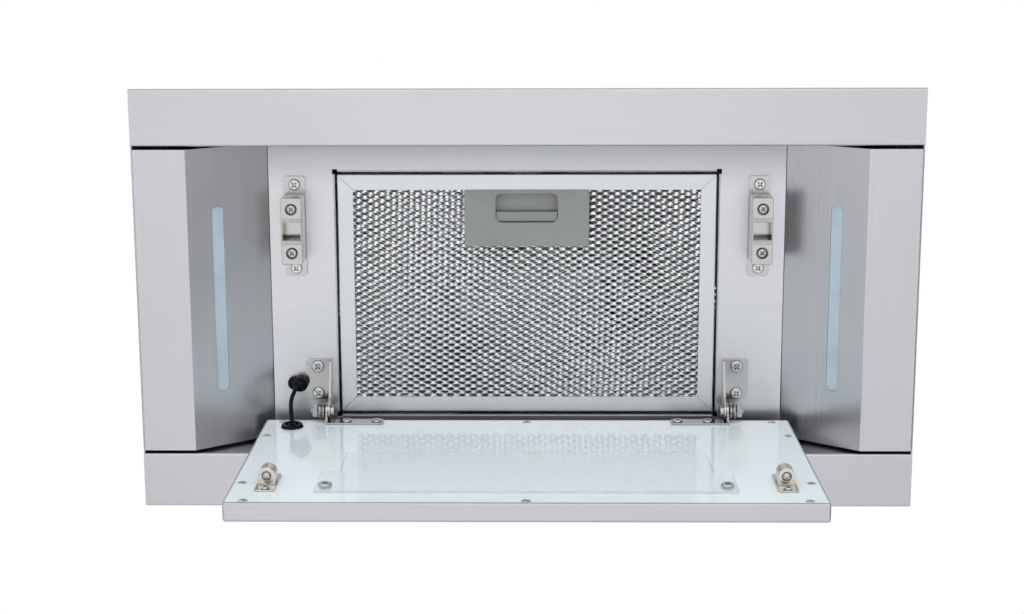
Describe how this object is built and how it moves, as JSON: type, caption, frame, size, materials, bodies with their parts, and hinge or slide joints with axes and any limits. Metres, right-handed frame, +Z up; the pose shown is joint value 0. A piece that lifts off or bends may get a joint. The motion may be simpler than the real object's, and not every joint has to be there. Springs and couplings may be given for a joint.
{
  "type": "under cabinet range hood",
  "caption": "Under cabinet range hood with a drop-down perimeter panel on friction hinges, angled lamp panels, a mesh filter, a centrifugal fan and a duct collar.",
  "frame": {"origin": "on the top face, which is screwed up against the cabinet, in the middle of the hood's width and full depth", "axes": "+Z up as installed, -Y towards the user, +X to the user's right, across the hood's width"},
  "size_m": [0.762, 0.4176, 0.482],
  "materials": {
    "brushed_stainless": "brushed",
    "galvanised_steel": "satin",
    "nickel_plate": "satin",
    "zinc_screw": "bright",
    "satin_aluminium": "satin",
    "bright_mesh": "bright",
    "grey_plastic": "matte",
    "spring_steel": "bright",
    "glossy_white": "glossy",
    "clear_plastic": "clear",
    "black_glass": "glossy",
    "circuit_board": "matte",
    "lamp_diffuser": "frosted",
    "black_rubber": "matte",
    "black_plastic": "matte",
    "motor_paint": "satin",
    "white_plastic": "glossy"
  },
  "bodies": {
    "housing": {"capacitor": "white_plastic", "catch_adjusters": "nickel_plate", "catch_bases": "nickel_plate", "catch_box_left": "nickel_plate", "catch_box_right": "nickel_plate", "control_board": "circuit_board", "control_box": "galvanised_steel", "control_box_lid": "galvanised_steel", "duct_collar": "galvanised_steel", "fan_motor": "motor_paint", "front_fascia": "brushed_stainless", "hinge_bolts": "nickel_plate", "hinge_bracket_left": "nickel_plate", "hinge_bracket_right": "nickel_plate", "hinge_nuts": "nickel_plate", "hinge_washers": "nickel_plate", "hood_grommet": "black_rubber", "housing_screws": "zinc_screw", "led_boards": "circuit_board", "led_driver": "black_plastic", "led_lens_left": "lamp_diffuser", "led_lens_right": "lamp_diffuser", "motor_bracket": "galvanised_steel", "panel_lead": "black_rubber", "rear_panel": "brushed_stainless", "recess_plate": "brushed_stainless", "scroll_side_left": "galvanised_steel", "scroll_side_right": "galvanised_steel", "scroll_wrapper": "galvanised_steel", "side_panel_left": "brushed_stainless", "side_panel_right": "brushed_stainless", "top_plate": "galvanised_steel"},
    "panel": {"panel_tray": "brushed_stainless", "panel_liner": "glossy_white", "panel_rivets": "zinc_screw", "panel_screws": "zinc_screw", "clear_cover": "clear_plastic", "touch_strip": "black_glass", "touch_board": "circuit_board", "panel_grommet": "black_rubber", "hinge_leaf_left": "nickel_plate", "hinge_leaf_right": "nickel_plate", "striker_left": "nickel_plate", "striker_right": "nickel_plate"},
    "filter": {"filter_bars": "satin_aluminium", "filter_mesh_lower": "bright_mesh", "filter_mesh_upper": "bright_mesh", "filter_handle": "grey_plastic", "latch_springs": "spring_steel"},
    "latch": {"latch_slider": "grey_plastic"},
    "impeller": {"impeller_blades": "black_plastic", "impeller_hub": "black_plastic", "impeller_rings": "black_plastic", "impeller_shaft": "spring_steel"},
    "flap_left": {"damper_flap_left": "galvanised_steel"},
    "flap_right": {"damper_flap_right": "galvanised_steel"},
    "ball_left_front": {"striker_ball_left_front": "nickel_plate"},
    "ball_left_rear": {"striker_ball_left_rear": "nickel_plate"},
    "ball_right_front": {"striker_ball_right_front": "nickel_plate"},
    "ball_right_rear": {"striker_ball_right_rear": "nickel_plate"}
  },
  "joints": [
    {"name": "panel_hinge", "type": "hinge", "parent": "housing", "child": "panel", "pos_m": [0, 0.1184, -0.201], "axis": [1, 0, 0], "range_deg": [-90, 0], "deforming": ["panel_lead"]},
    {"name": "filter_drop", "type": "slide", "parent": "housing", "child": "filter", "axis": [0, 0, -1], "range_m": [0, 0.07]},
    {"name": "latch_slide", "type": "slide", "parent": "filter", "child": "latch", "axis": [0, 1, 0], "range_m": [0, 0.004], "stiffness_N_per_m": 500, "springref_m": -0.004, "deforming": ["latch_springs"]},
    {"name": "impeller_spin", "type": "hinge", "parent": "housing", "child": "impeller", "pos_m": [0, 0.02, -0.088], "axis": [1, 0, 0], "continuous": true},
    {"name": "flap_left_swing", "type": "hinge", "parent": "housing", "child": "flap_left", "pos_m": [-0.004, 0.064, 0.02], "axis": [0, 1, 0], "range_deg": [0, 75]},
    {"name": "flap_right_swing", "type": "hinge", "parent": "housing", "child": "flap_right", "pos_m": [0.004, 0.064, 0.02], "axis": [0, -1, 0], "range_deg": [0, 75]},
    {"name": "ball_left_front_press", "type": "slide", "parent": "panel", "child": "ball_left_front", "axis": [0, 0, 1], "range_m": [0, 0.0012], "stiffness_N_per_m": 500, "springref_m": -0.004},
    {"name": "ball_left_rear_press", "type": "slide", "parent": "panel", "child": "ball_left_rear", "axis": [0, 0, -1], "range_m": [0, 0.0012], "stiffness_N_per_m": 500, "springref_m": -0.004},
    {"name": "ball_right_front_press", "type": "slide", "parent": "panel", "child": "ball_right_front", "axis": [0, 0, 1], "range_m": [0, 0.0012], "stiffness_N_per_m": 500, "springref_m": -0.004},
    {"name": "ball_right_rear_press", "type": "slide", "parent": "panel", "child": "ball_right_rear", "axis": [0, 0, -1], "range_m": [0, 0.0012], "stiffness_N_per_m": 500, "springref_m": -0.004}
  ]
}
